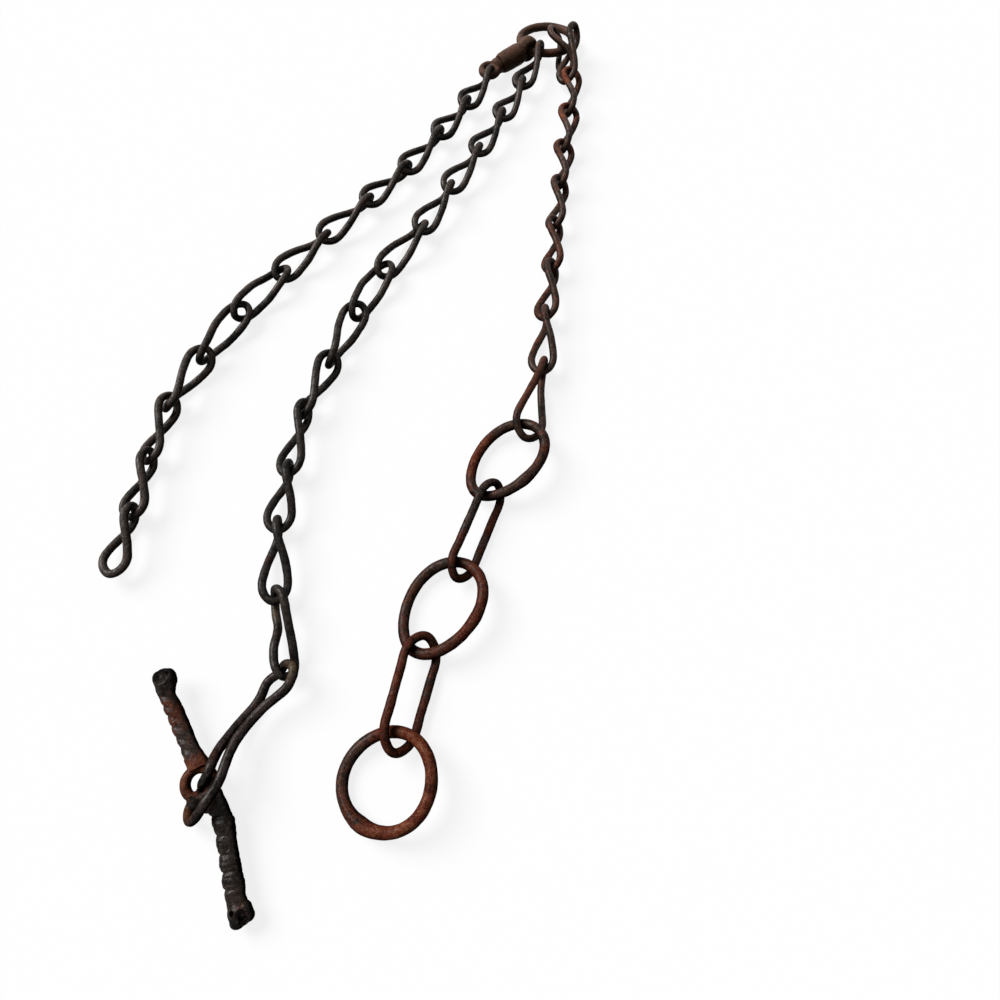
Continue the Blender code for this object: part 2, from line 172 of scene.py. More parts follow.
# %% Light
LAMP_WIDTH = 36               # degrees across, as seen from the chain
LAMP_STRENGTH = 4.1
LAMP_SHINES = Vector((0.92, -0.55, -0.95))
lamp_data = bpy.data.lights.new("window", "SUN")
lamp_data.angle = math.radians(LAMP_WIDTH)
lamp_data.energy = LAMP_STRENGTH
lamp = bpy.data.objects.new("window", lamp_data)
lamp.rotation_euler = LAMP_SHINES.to_track_quat("-Z", "Y").to_euler()
scene.collection.objects.link(lamp)
scene.view_settings.view_transform = "Standard"
print("lamp strength:", LAMP_STRENGTH)

# %% [markdown]
# ## Reading a rod's centreline
#
# Each packed rod is a six-sided tube. Opposite corners of one section are exactly a rod's
# diameter apart and share a midpoint, so where three such midpoints fall together there is
# a point of the centreline. The tube's own edges say which points are neighbours.


# %% Centreline of a packed rod
def packed_centreline(node, rod):
    """The section centres of a packed six-sided rod, in order round its loop."""
    bm = bmesh.new()
    bm.from_mesh(nodes[node].data)
    bmesh.ops.remove_doubles(bm, verts=bm.verts, dist=0.02 * MM)
    bm.verts.ensure_lookup_table()
    corners = np.array([v.co for v in bm.verts])
    edges = [(e.verts[0].index, e.verts[1].index) for e in bm.edges]
    bm.free()
    apart = np.linalg.norm(corners[:, None] - corners[None], axis=2)
    first, second = np.nonzero(np.triu(np.abs(apart - rod) < 0.01 * MM))
    mids = (corners[first] + corners[second]) / 2
    centres = []
    owner = {}
    for k, mid in enumerate(mids):
        same = np.nonzero(np.linalg.norm(mids - mid, axis=1) < 0.03 * MM)[0]
        if len(same) == 3 and same[0] == k:
            for j in same:
                owner[int(first[j])] = len(centres)
                owner[int(second[j])] = len(centres)
            centres.append(mids[same].mean(axis=0))
    beside = {k: set() for k in range(len(centres))}
    for a, b in edges:
        if a in owner and b in owner and owner[a] != owner[b]:
            beside[owner[a]].add(owner[b])
            beside[owner[b]].add(owner[a])
    order = [0]
    while len(order) < len(centres):
        onward = [k for k in beside[order[-1]] if k not in order]
        if not onward:
            break
        order.append(onward[0])
    return np.array([centres[k] for k in order])


# %% [markdown]
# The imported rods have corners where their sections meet. A real rod was bent in one sweep,
# so a spline is drawn through the section centres. Its bends are found for the whole loop
# at once, which keeps it smooth where the loop closes.


# %% A smooth line through a loop
def smooth_loop(points, count):
    """A cubic spline through a closed loop's points, at even spacing, and its length."""
    n = len(points)
    after = np.roll(points, -1, axis=0)
    step = np.linalg.norm(after - points, axis=1)
    before = np.roll(step, 1)
    system = np.zeros((n, n))
    right = np.zeros((n, 3))
    for k in range(n):
        system[k, (k - 1) % n] += before[k]
        system[k, k] += 2 * (before[k] + step[k])
        system[k, (k + 1) % n] += step[k]
        right[k] = 6 * ((after[k] - points[k]) / step[k]
                        - (points[k] - points[k - 1]) / before[k])
    bend = np.linalg.solve(system, right)
    fine = []
    for k in range(n):
        h, m0, m1 = step[k], bend[k], bend[(k + 1) % n]
        s = (np.arange(24) / 24)[:, None]
        a, b = 1 - s, s
        fine.append(a * points[k] + b * after[k]
                    + ((a ** 3 - a) * m0 + (b ** 3 - b) * m1) * h * h / 6)
    fine = np.vstack(fine)
    ends = np.vstack((fine, fine[:1]))
    run = np.concatenate(([0], np.cumsum(np.linalg.norm(np.diff(ends, axis=0), axis=1))))
    want = np.arange(count) / count * run[-1]
    return np.column_stack([np.interp(want, run, ends[:, j]) for j in range(3)]), run[-1]


# %% Every rod's thickness and line
LINE_POINTS = 240
LINK_ROD, OVAL_ROD, RING_ROD, END_RING_ROD, LONG_ROD = (v * MM for v in (4.6, 4.8, 6.0, 6.2, 5.0))
rods = {name: LINK_ROD for name in nodes if "_link_" in name}
rods.update(oval_1=OVAL_ROD, oval_2=OVAL_ROD, ring_1=RING_ROD, ring_2=RING_ROD,
            ring_3=END_RING_ROD, swivel_ring=RING_ROD, long_link=LONG_ROD)
lines = {}
lengths = {}
for name, rod in rods.items():
    stations = packed_centreline(name, rod)
    lines[name], lengths[name] = smooth_loop(stations, LINE_POINTS)
print("rods:", len(lines), "points each:", sorted({len(v) for v in lines.values()}),
      "shortest and longest mm:", round(min(lengths.values()) / MM), round(max(lengths.values()) / MM))

# %% [markdown]
# ## The rods
#
# A closed round rod is a ring that has been bent, so each one starts as a torus: a small
# circle spun all the way round. Its points are then carried from the torus to the real
# centreline. The hammer left the rod slightly uneven and rust has eaten small pits in it,
# so the surface is moved in and out by noise of several sizes.


# %% A torus laid along a loop
def frames_along(line):
    """Unit tangents and normals along a closed loop, turning no more than they must."""
    tangents = np.roll(line, -1, axis=0) - np.roll(line, 1, axis=0)
    tangents /= np.linalg.norm(tangents, axis=1)[:, None]
    normals = np.zeros_like(line)
    start = np.cross(tangents[0], (0.3, 0.2, 1.0))
    normals[0] = start / np.linalg.norm(start)
    for k in range(1, len(line)):
        n = normals[k - 1] - tangents[k] * np.dot(normals[k - 1], tangents[k])
        normals[k] = n / np.linalg.norm(n)
    last = normals[-1] - tangents[0] * np.dot(normals[-1], tangents[0])
    sine = np.dot(np.cross(last, normals[0]), tangents[0])
    slip = math.atan2(sine, np.dot(last, normals[0]))
    turn = slip * (np.arange(len(line)) / len(line))[:, None]
    sides = np.cross(tangents, normals)
    normals = normals * np.cos(turn) + sides * np.sin(turn)
    return tangents, normals


def torus_mesh(name, rod, length, around, along):
    """A torus of that rod and length, spun about Z."""
    bm = bmesh.new()
    section = bmesh.ops.create_circle(bm, segments=around, radius=rod / 2)["verts"]
    bmesh.ops.rotate(bm, verts=section, matrix=Matrix.Rotation(math.pi / 2, 3, "X"))
    bmesh.ops.translate(bm, verts=section, vec=(length / (2 * math.pi), 0, 0))
    bmesh.ops.spin(bm, geom=bm.verts[:] + bm.edges[:], axis=(0, 0, 1), cent=(0, 0, 0),
                   angle=2 * math.pi, steps=along, use_merge=True)
    bmesh.ops.recalc_face_normals(bm, faces=bm.faces)
    mesh = bpy.data.meshes.new(name)
    bm.to_mesh(mesh)
    bm.free()
    return mesh


# %% Reading and writing a mesh's points
def read_points(mesh):
    """All of a mesh's points as an array."""
    co = np.zeros(len(mesh.vertices) * 3)
    mesh.vertices.foreach_get("co", co)
    return co.reshape(-1, 3)


def write_points(mesh, points):
    """Put an array of points back into a mesh."""
    mesh.vertices.foreach_set("co", points.astype(np.float32).ravel())
    mesh.update()


def store(mesh, name, values):
    """Keep a value for each point, for the materials to read."""
    layer = mesh.attributes.new(name, "FLOAT", "POINT")
    layer.data.foreach_set("value", np.asarray(values, np.float32))


# %% Noise over a set of points
def waves(points, size, shift=0.0):
    """Smooth noise from -1 to 1 with features of about that size."""
    scale = 1.0 / size
    move = Vector((shift, 2.3 * shift, -1.7 * shift))
    return np.array([noise.noise(Vector(p) * scale + move) for p in points])


def pits(points, size, shift=0.0):
    """0 over most of the surface, rising to 1 in scattered round pits."""
    scale = 1.0 / size
    move = Vector((shift, 1.9 * shift, 0.7 * shift))
    near = np.array([noise.voronoi(Vector(p) * scale + move)[0][0] for p in points])
    return np.clip(1 - near / 0.42, 0, 1) ** 1.5


# %% [markdown]
# ### Where rust and rubbing lie
#
# Rust isn't even: one leg of a link is bright, the next is black. Each loop gets its rust
# in tenths by the direction from its own middle. The first is along +X and the others
# follow anticlockwise, every 90 degrees on a link and every 45 on a larger loop.

# %% Rust by direction, in tenths
rust_of = {
    "left": ["1423", "1201", "2101", "2201", "3301", "3401", "2121", "2111", "1221", "2322",
             "3312", "2221"],
    "middle": ["3523", "3322", "2212", "2212", "1101", "1101", "1301", "1112", "1112", "1212",
               "1112", "1261", "3252"],
    "right": ["2443", "2333", "2892", "3783", "3664", "4554", "5566", "3475", "3573", "2684"],
}
rust_round = {
    "swivel_ring": "22222344", "ring_1": "64389534", "ring_2": "77355568",
    "ring_3": "89945699", "oval_1": "98211765", "oval_2": "56797877", "long_link": "23422312",
}
print("links in each strand:", {strand: len(rows) for strand, rows in rust_of.items()})

# %% [markdown]
# Within one finish some pieces are blacker than others, so a piece may have a tone: how
# light it is against the rest. Two pieces also have stains, of rust that is brighter than
# the rest and of dried yellow clay.

# %% Tones and stains
tone_of = {
    "middle_link_07": 0.80, "middle_link_08": 0.68, "middle_link_09": 0.58, "middle_link_10": 0.48,
    "middle_link_11": 0.42, "middle_link_12": 0.38, "middle_link_13": 0.38,
    "right_link_05": 0.90, "right_link_06": 0.85, "right_link_07": 0.80, "right_link_08": 0.72,
    "right_link_09": 0.66, "right_link_10": 0.64, "ring_1": 0.72, "oval_1": 0.62,
    "ring_2": 0.68, "oval_2": 0.68, "ring_3": 0.78, "long_link": 0.40,
}
# Each spot: how far across and up the piece's outline, its radius in mm, and its strength
rust_spots = {"long_link": [(0.03, 0.06, 8, 1.0), (0.30, 0.40, 6, 0.3)]}
clay_spots = {"middle_link_13": [(0.15, 0.75, 6, 1.0)], "long_link": [(0.95, 0.93, 7, 1.0)]}
print("rods with a tone:", len(tone_of), "stained:", sorted(set(rust_spots) | set(clay_spots)))


def add_spots(points, values, spots):
    """Values raised round spots on a piece."""
    low, high = points[:, :2].min(axis=0), points[:, :2].max(axis=0)
    for across, upward, radius, strength in spots:
        spot = low + (high - low) * (across, upward)
        away = np.linalg.norm(points[:, :2] - spot, axis=1)
        values = values + strength * np.exp(-(away / (radius * MM)) ** 2)
    return np.clip(values, 0, 1)


# %% Rust between the given directions
def tenths(name):
    """A rod's rust in tenths, one digit for each direction."""
    if name in rust_round:
        return rust_round[name]
    strand, number = name.split("_link_")
    return rust_of[strand][int(number) - 1]


def by_direction(points, middle, text):
    """Values in tenths given at even angles from +X, blended between them."""
    values = np.array([int(c) for c in text]) / 10
    turn = np.arctan2(points[:, 1] - middle[1], points[:, 0] - middle[0]) / (2 * np.pi) % 1
    place = turn * len(values)
    low = np.floor(place).astype(int) % len(values)
    part = place - np.floor(place)
    part = part * part * (3 - 2 * part)
    return values[low] * (1 - part) + values[(low + 1) % len(values)] * part


# %% [markdown]
# Where two rods hook together they rub, so each point also keeps how near it lies to a
# neighbour. There the pits are fainter and the iron is rubbed smooth.

# %% Where rods rub
TOUCHING = 0.3 * MM           # a gap this small counts as touching
RUB_WIDTH = 3.0 * MM
NEARBY = 5 * MM               # rods further than this from a piece's box are passed over
everything = {name: (line[::3], rods[name] / 2) for name, line in lines.items()}


def rubbing(name, points):
    """1 where another rod touches, falling to 0 about 3 mm away from it."""
    low, high = points.min(axis=0) - NEARBY, points.max(axis=0) + NEARBY
    gap = np.full(len(points), 1.0)
    for other, (line, radius) in everything.items():
        if other == name:
            continue
        near = line[np.all((line > low - radius) & (line < high + radius), axis=1)]
        if len(near):
            away = np.linalg.norm(points[:, None] - near[None], axis=2).min(axis=1) - radius
            gap = np.minimum(gap, away)
    return np.clip(1 - (gap - TOUCHING) / RUB_WIDTH, 0, 1)


# %% [markdown]
# ### Building one rod
#
# The rod's thickness varies along it by a few hundredths, and all points of a section share
# that. The three end rings are also thicker at one place, as a ring is where its ends were
# welded together. Waves and pits about a tenth of a millimetre deep come last. They are
# real shape and not only shading, so they break up the gleam along the rod.

# %% Finishing any piece
made = {}


def slot_of(name):
    """The record's material slot for a node."""
    for row in frame["record"]["subparts"]:
        if row["node"] == name:
            return row["material_slot"]


def finish_piece(name, mesh):
    """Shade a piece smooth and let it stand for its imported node."""
    mesh.polygons.foreach_set("use_smooth", np.ones(len(mesh.polygons), bool))
    piece = bpy.data.objects.new(name + "_iron", mesh)
    scene.collection.objects.link(piece)
    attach(piece, "root")
    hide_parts(name)
    made[name] = piece


# %% Rod builder
def build_rod(name, around=24, pitch=0.5 * MM, swell=(), flat=0.05):
    """A closed uneven rod along a node's centreline.

    swell lists thicker places: the angle from +X in degrees, how much thicker as a part
    of the radius, and the width.
    """
    rod, length = rods[name], lengths[name]
    along = int(round(length / pitch))
    line, _ = smooth_loop(lines[name][::4], along)
    tangents, normals = frames_along(line)
    # Following the torus round, its outward side, its path and +Z are a right-handed set.
    sides = np.cross(normals, tangents)
    mesh = torus_mesh(name + "_iron", rod, length, around, along)
    points = read_points(mesh)
    reach = np.hypot(points[:, 0], points[:, 1])
    turn = np.arctan2(points[:, 1], points[:, 0]) / (2 * np.pi)
    at = np.rint(turn * along).astype(int) % along
    out = (reach - length / (2 * np.pi))[:, None] * normals[at] + points[:, 2:] * sides[at]
    out /= np.linalg.norm(out, axis=1)[:, None]
    middle = line.mean(axis=0)
    centre = line[at]
    thick = waves(line, 9 * MM, 3.1) * flat + waves(line, 3.5 * MM, 7.7) * flat * 0.4
    for angle, extra, width in swell:
        ray = np.array((math.cos(math.radians(angle)), math.sin(math.radians(angle))))
        aim = (line[:, :2] - middle[:2]) @ ray
        spot = line[np.argmax(aim)]
        away = np.linalg.norm(line - spot, axis=1)
        thick = thick + extra * np.exp(-(away / width) ** 2)
    points = centre + out * (rod / 2) * (1 + thick[at])[:, None]
    relief = (waves(points, 4.5 * MM, 1.3) * 0.10 + waves(points, 1.7 * MM, 5.9) * 0.05
              - pits(points, 2.6 * MM, 2.2) * 0.10) * MM
    rub = rubbing(name, points)
    relief = relief * (1 - 0.6 * rub) - 0.12 * MM * rub
    points = points + out * relief[:, None]
    write_points(mesh, points)
    rust = by_direction(points, middle, tenths(name))
    store(mesh, "rust", add_spots(points, rust, rust_spots.get(name, ())))
    store(mesh, "clay", add_spots(points, np.zeros(len(points)), clay_spots.get(name, ())))
    store(mesh, "tone", np.full(len(points), tone_of.get(name, 1.0)))
    store(mesh, "rub", rub)
    store(mesh, "hollow", np.clip(-relief / (0.15 * MM), 0, 1))
    finish_piece(name, mesh)


# %% The thirty-five twisted links
for name in sorted(lines):
    if "_link_" in name:
        build_rod(name)
print("links:", len(made), "triangles each:", len(made["left_link_01"].data.polygons) * 2)

# %% The rings, the ovals and the long link
build_rod("swivel_ring", around=30)
build_rod("ring_1", around=30, swell=[(-50, 0.16, 5 * MM)], flat=0.06)
build_rod("ring_2", around=30, swell=[(-30, 0.10, 6 * MM)], flat=0.06)
build_rod("ring_3", around=30, swell=[(-120, 0.28, 8 * MM)], flat=0.06)
for name in ("oval_1", "oval_2", "long_link"):
    build_rod(name, around=26)
print("rods made:", len(made), "triangles:", sum(len(o.data.polygons) for o in made.values()) * 2)

# %% [markdown]
# ## The forgings
#
# The toggle and the two halves of the swivel aren't bent rod but small forgings, where
# bars, eyes and lumps flow into one another. Modelling each joint by hand is slow. It is
# quicker to make the simple parts with a few operators, let them overlap, and turn them
# into one skin: the Remesh modifier fills the overlapping parts with small cubes and wraps
# one closed skin round them all, and smoothing then rounds the places where they meet.


# %% Simple parts, and one skin round them
def part_mesh(shape, place):
    """A mesh made by shape(bm) and put at a placement."""
    bm = bmesh.new()
    shape(bm)
    bmesh.ops.transform(bm, matrix=place, verts=bm.verts)
    bmesh.ops.recalc_face_normals(bm, faces=bm.faces)
    mesh = bpy.data.meshes.new("part")
    bm.to_mesh(mesh)
    bm.free()
    return mesh


def one_skin(name, meshes, cell, soften):
    """One closed mesh round overlapping parts, softened where they meet."""
    bm = bmesh.new()
    for mesh in meshes:
        bm.from_mesh(mesh)
        bpy.data.meshes.remove(mesh)
    rough_mesh = bpy.data.meshes.new(name)
    bm.to_mesh(rough_mesh)
    bm.free()
    holder = bpy.data.objects.new(name, rough_mesh)
    scene.collection.objects.link(holder)
    wrap = holder.modifiers.new("wrap", "REMESH")
    wrap.mode = "VOXEL"
    wrap.voxel_size = cell
    smooth = holder.modifiers.new("soften", "SMOOTH")
    smooth.iterations = soften
    smooth.factor = 0.5
    seen = holder.evaluated_get(bpy.context.evaluated_depsgraph_get())
    skin = bpy.data.meshes.new_from_object(seen)
    bpy.data.objects.remove(holder)
    bpy.data.meshes.remove(rough_mesh)
    skin.name = name
    return skin


def directions(mesh):
    """The outward direction at every point."""
    out = np.zeros(len(mesh.vertices) * 3)
    mesh.vertex_normals.foreach_get("vector", out)
    return out.reshape(-1, 3)


def weather(name, skin, rust, tone):
    """Roughen a skin, keep its rust, tone, clay, rub and hollow, and finish the piece."""
    points = read_points(skin)
    out = directions(skin)
    relief = (waves(points, 4.0 * MM, 2.7) * 0.16 + waves(points, 1.6 * MM, 8.1) * 0.07
              - pits(points, 2.4 * MM, 4.4) * 0.12) * MM
    rub = rubbing(name, points)
    relief = relief * (1 - 0.6 * rub)
    write_points(skin, points + out * relief[:, None])
    store(skin, "rust", rust)
    store(skin, "tone", tone)
    store(skin, "clay", np.zeros(len(points)))
    store(skin, "rub", rub)
    store(skin, "hollow", np.clip(-relief / (0.2 * MM), 0, 1))
    finish_piece(name, skin)
    print(name, "triangles:", sum(len(p.vertices) - 2 for p in skin.polygons))


def frame_of(x, y, z, origin):
    """A placement from three unit axes and an origin."""
    return Matrix.Translation(origin) @ Matrix((x, y, z)).transposed().to_4x4()


# %% [markdown]
# ### The toggle
#
# The toggle is the bar that was pushed through a ring to fasten the chain. The smith made
# it from bar: an eye in the middle, each arm twisted while hot, and each end upset into a
# knob. The twist shows as creases that wind round the arm, and each leaves a notch in the
# arm's edge.
#
# Each arm starts as a cylinder cut into many short lengths. Every section is then squared
# a little, given its own width and its place to one side, and drawn in at the creases.

# %% Where the toggle lies
toggle_low, toggle_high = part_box("toggle")
KNOB_RADIUS = 6.7 * MM
UPPER_KNOB_HEIGHT = 11.5 * MM
EYE_PART = 0.483              # how much of the way from the upper knob to the lower
upper = Vector((toggle_low.x + KNOB_RADIUS, toggle_high.y - KNOB_RADIUS, UPPER_KNOB_HEIGHT))
lower = Vector((toggle_high.x - KNOB_RADIUS, toggle_low.y + KNOB_RADIUS, KNOB_RADIUS))
along = (lower - upper).normalized()
across = Vector((0, 0, 1)).cross(along).normalized()
up = along.cross(across)
eye_at = upper.lerp(lower, EYE_PART)
toggle_place = frame_of(along, across, up, eye_at)
print("toggle mm from knob to knob:", round((lower - upper).length / MM, 1))


# %% An eye and a ball
def eye_shape(radius, half_width, half_height, around=64):
    """An eye lying flat round +Z, of oval section."""
    def shape(bm):
        section = bmesh.ops.create_circle(bm, segments=24, radius=1)["verts"]
        bmesh.ops.scale(bm, vec=(half_width, half_height, 1), verts=section)
        bmesh.ops.rotate(bm, verts=section, matrix=Matrix.Rotation(math.pi / 2, 3, "X"))
        bmesh.ops.translate(bm, verts=section, vec=(radius, 0, 0))
        bmesh.ops.spin(bm, geom=bm.verts[:] + bm.edges[:], axis=(0, 0, 1), cent=(0, 0, 0),
                       angle=2 * math.pi, steps=around, use_merge=True)
    return shape


def in_mm(values):
    """A place or size given in mm, turned into metres."""
    return tuple(v * MM for v in values)


def ball_shape(centre, radii):
    """A ball at a place in mm, stretched to three radii in mm."""
    def shape(bm):
        bmesh.ops.create_icosphere(bm, subdivisions=3, radius=1)
        bmesh.ops.scale(bm, vec=in_mm(radii), verts=bm.verts)
        bmesh.ops.translate(bm, vec=in_mm(centre), verts=bm.verts)
    return shape


# %% A twisted arm
def arm_shape(side, start, reach, half_table, aside_table, pitch, creases, slip, cuts):
    """A twisted arm along X on one side of the eye.

    The tables give the arm's half width, and how far it lies towards +Y, against the
    distance from the eye's middle. That many creases wind round it, a pitch apart, and
    cuts gives their depth on its +Y side and on its -Y side, as parts of the half width.
    """
    def shape(bm):
        bmesh.ops.create_cone(bm, cap_ends=True, segments=44, radius1=1, radius2=1, depth=1)
        upright = [e for e in bm.edges if abs(e.verts[0].co.z - e.verts[1].co.z) > 0.5]
        bmesh.ops.subdivide_edges(bm, edges=upright, cuts=130)
        for vert in bm.verts:
            far = start + (vert.co.z + 0.5) * (reach - start)
            turn = math.atan2(vert.co.y, vert.co.x)
            out = math.hypot(vert.co.x, vert.co.y)
            half = np.interp(far / MM, *zip(*half_table)) * MM
            square = (abs(math.cos(turn)) ** 2.5 + abs(math.sin(turn)) ** 2.5) ** -0.4
            x = side * far
            wander = noise.noise(Vector((x / (9 * MM), slip, 0.3))) * 0.22
            phase = creases * turn / (2 * math.pi) + x / pitch + wander + slip
            swell = abs(math.sin(math.pi * phase)) ** 0.35
            strand = abs(math.sin(3 * math.pi * phase)) ** 0.6
            lie = 0.5 - 0.5 * math.cos(turn)
            # The creases begin beyond the eye and end before the knob.
            end_in = min(max((far - 13 * MM) / (4 * MM), 0), 1)
            end_out = min(max((reach - 7 * MM - far) / (3 * MM), 0), 1)
            depth = (cuts[0] + (cuts[1] - cuts[0]) * lie) * end_in * end_out
            cut = depth * (1 - swell) + 0.05 * (1 - strand) * end_in * end_out
            size = half * square * (1.03 - cut) * out
            aside = np.interp(far / MM, *zip(*aside_table)) * MM
            vert.co = (x, size * math.cos(turn) + aside, size * math.sin(turn) * 0.92)
    return shape


# %% Pits, and room for the neighbours
def dent(points, centre, radius, depth, towards):
    """Push the skin in round a point, like the mark of a round punch."""
    away = np.linalg.norm(points - np.array(centre), axis=1)
    amount = np.clip(1 - (away / radius) ** 2, 0, 1) ** 1.5
    return points + np.array(towards)[None] * (amount * depth)[:, None]


def make_room(name, points, gap=0.25 * MM):
    """Move a skin's points off the neighbouring rods, to a small gap from them."""
    for other, (line, radius) in everything.items():
        if other == name:
            continue
        low, high = points.min(axis=0) - NEARBY, points.max(axis=0) + NEARBY
        if not np.any(np.all((line > low) & (line < high), axis=1)):
            continue
        fine = np.concatenate([line * (1 - t) + np.roll(line, -1, axis=0) * t
                               for t in (0, 0.2, 0.4, 0.6, 0.8)])
        for first in range(0, len(points), 4000):
            part = points[first:first + 4000]
            apart = np.linalg.norm(part[:, None] - fine[None], axis=2)
            nearest = apart.argmin(axis=1)
            away = apart[np.arange(len(part)), nearest]
            inside = away < radius + gap
            foot = fine[nearest[inside]]
            push = (part[inside] - foot) / away[inside][:, None]
            part[inside] = foot + push * (radius + gap)
    return points


# %% The toggle's arms
# Each pair: the distance from the eye's middle, and the half width or the place to one
# side there, all in mm.
UPPER_HALF = [(7.5, 5.2), (11, 5.0), (14, 4.7), (17, 4.35), (21, 4.2), (31, 4.35), (36, 4.2),
              (41, 4.25), (45, 4.05), (48.5, 3.85), (52, 4.7), (57, 5.1)]
UPPER_ASIDE = [(7.5, 3.6), (11, 3.2), (14, 2.7), (17, 2.3), (21, 1.9), (26, 1.5), (31, 1.2),
               (36, 0.9), (41, 0.5), (45, 0.0), (48.5, -0.3), (52, 0.2), (57, 0.9)]
LOWER_HALF = [(5.5, 4.8), (12, 4.7), (16, 4.5), (21, 5.0), (25, 4.9), (30, 4.5), (34, 4.5),
              (38, 4.7), (42, 4.5), (46, 4.9), (50, 4.9), (54, 4.3), (60, 4.8)]
LOWER_ASIDE = [(5.5, 4.6), (12, 5.4), (16, 5.8), (21, 6.0), (25, 5.3), (30, 4.4), (34, 3.7),
               (38, 3.0), (42, 2.6), (46, 1.8), (50, 1.3), (54, 0.6), (60, 0.4)]
arms = [
    arm_shape(-1, 7.5 * MM, 57 * MM, UPPER_HALF, UPPER_ASIDE, 5.9 * MM, 3, 0.15, (0.10, 0.34)),
    arm_shape(1, 5.5 * MM, 60 * MM, LOWER_HALF, LOWER_ASIDE, 8.3 * MM, 1, 0.6, (0.03, 0.34)),
]
print("stations in the arms' tables:", len(UPPER_HALF), len(LOWER_HALF))

# %% The toggle's lumps, and one skin round everything
TOGGLE_CELL = 0.27 * MM
lumps = {
    "round the eye": [((8.6, 1.5, -0.3), (5.2, 4.5, 3.3)), ((5.6, -3.0, 0), (4.6, 4.3, 3.4)),
                      ((2.5, 6.0, 0), (6.5, 3.6, 3.5))],
    "upper knob": [((-56.0, 1.0, 0), (6.2, 5.7, 5.6)), ((-57.6, -1.2, 0.4), (4.3, 3.5, 4.6)),
                   ((-57.2, 3.6, 0.4), (4.0, 3.3, 4.6))],
    "lower knob": [((60.2, 0.5, 0), (6.0, 5.8, 5.6)), ((59.2, 3.9, 1.0), (3.2, 2.6, 3.8)),
                   ((62.6, 3.2, -0.6), (3.2, 3.0, 4.2)), ((63.2, -1.9, 0), (3.4, 3.5, 4.4))],
}
balls = [ball_shape(*lump) for group in lumps.values() for lump in group]
placed = [(shape, toggle_place) for shape in arms + balls]
eye_offset = Matrix.Translation(in_mm((-1.2, 1.2, 0)))
placed.append((eye_shape(6.9 * MM, 2.5 * MM, 3.4 * MM), toggle_place @ eye_offset))
toggle_skin = one_skin("toggle_iron", [part_mesh(s, p) for s, p in placed], TOGGLE_CELL, 2)
print("toggle points:", len(toggle_skin.vertices))

# %% Its pits
# Each pit: its place along, across and up, then its radius and depth, all in mm. The first
# is the wide cup in the upper knob, and the last three are shallow dents in the arms.
PITS = [(-58.0, 0.0, 5.0, 4.6, 3.4), (-57.6, 3.7, 4.8, 1.6, 1.8), (59.3, -2.0, 5.0, 1.5, 2.6),
        (61.6, 1.6, 5.0, 2.8, 3.0), (64.2, 1.8, 3.4, 2.6, 2.4), (-31, 0.5, 4.6, 1.6, 0.5),
        (33, 4.5, 5.0, 1.8, 0.5), (22, 8.5, 5.0, 2.0, 0.5)]
sink = -np.array(up)
points = read_points(toggle_skin)
for x, y, z, radius, depth in PITS:
    spot = toggle_place @ Vector(in_mm((x, y, z)))
    points = dent(points, spot, radius * MM, depth * MM, sink)
points = make_room("toggle", points)
write_points(toggle_skin, points)
print("pits:", len(PITS))

# %% Its rust and tone, by distance along it in mm
RUST_ALONG = [(-63, 0.0), (-54, 0.05), (-50, 0.30), (-45, 0.60), (-38, 0.66), (-30, 0.60),
              (-24, 0.35), (-17, 0.30), (-12, 0.75), (-7, 0.92), (0, 0.80), (4, 0.45), (8, 0.18),
              (14, 0.12), (30, 0.20), (46, 0.15), (54, 0.14), (58, 0.40), (62, 0.10), (68, 0.0)]
TONE_ALONG = [(-62, 0.32), (-56, 0.36), (-52, 0.55), (-40, 0.72), (-20, 0.72), (-8, 0.85), (2, 0.72),
              (7, 0.42), (30, 0.50), (52, 0.55), (58, 0.50), (62, 0.36), (68, 0.40)]
back = np.array(toggle_place.inverted())
local = points @ back[:3, :3].T + back[:3, 3]
run = local[:, 0] / MM
toggle_rust = np.interp(run, *zip(*RUST_ALONG))
toggle_tone = np.interp(run, *zip(*TONE_ALONG))
weather("toggle", toggle_skin, toggle_rust, toggle_tone)

# %% [markdown]
# ### The swivel
#
# The swivel stops the chain from twisting up as the cow turned round. Its barrel is a
# short forged tube whose one end is drawn into an eye round the ring. A pin turns in the
# other end, held by a head inside, and carries an eye for the left strand. Both halves are
# turned from a profile, spun about the barrel's line, and then given their eyes.

# %% Where the swivel lies
ring_low, ring_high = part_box("swivel_ring")
SWIVEL_YAW = math.radians(40.5)
HOLD_AWAY = 20.8              # mm from the ring's middle to its rod
HOLD_HEIGHT = 8.9 * MM
swivel_along = Vector((math.cos(SWIVEL_YAW), math.sin(SWIVEL_YAW), 0))
swivel_across = Vector((-swivel_along.y, swivel_along.x, 0))
ring_middle = (ring_low + ring_high) / 2
hold = ring_middle - swivel_along * HOLD_AWAY * MM
hold.z = HOLD_HEIGHT
# In this placement X is up, Y is across, and Z runs along the swivel towards the ring.
swivel_place = frame_of(Vector((0, 0, 1)), -swivel_across, swivel_along, hold)
eye_round_ring = frame_of(Vector((0, 0, 1)), swivel_along, swivel_across, hold)
flat_at = frame_of(swivel_along, swivel_across, Vector((0, 0, 1)), hold)
print("the swivel holds the ring at mm:", [round(v / MM, 1) for v in hold])


# %% Turning a profile
def turned_shape(profile, steps=48):
    """A solid turned from (radius, height) pairs in mm about Z."""
    def shape(bm):
        verts = [bm.verts.new((r * MM, 0, z * MM)) for r, z in profile]
        for a, b in zip(verts, verts[1:]):
            bm.edges.new((a, b))
        bmesh.ops.spin(bm, geom=bm.verts[:] + bm.edges[:], axis=(0, 0, 1), cent=(0, 0, 0),
                       angle=2 * math.pi, steps=steps, use_merge=True)
        bmesh.ops.remove_doubles(bm, verts=bm.verts, dist=0.01 * MM)
    return shape


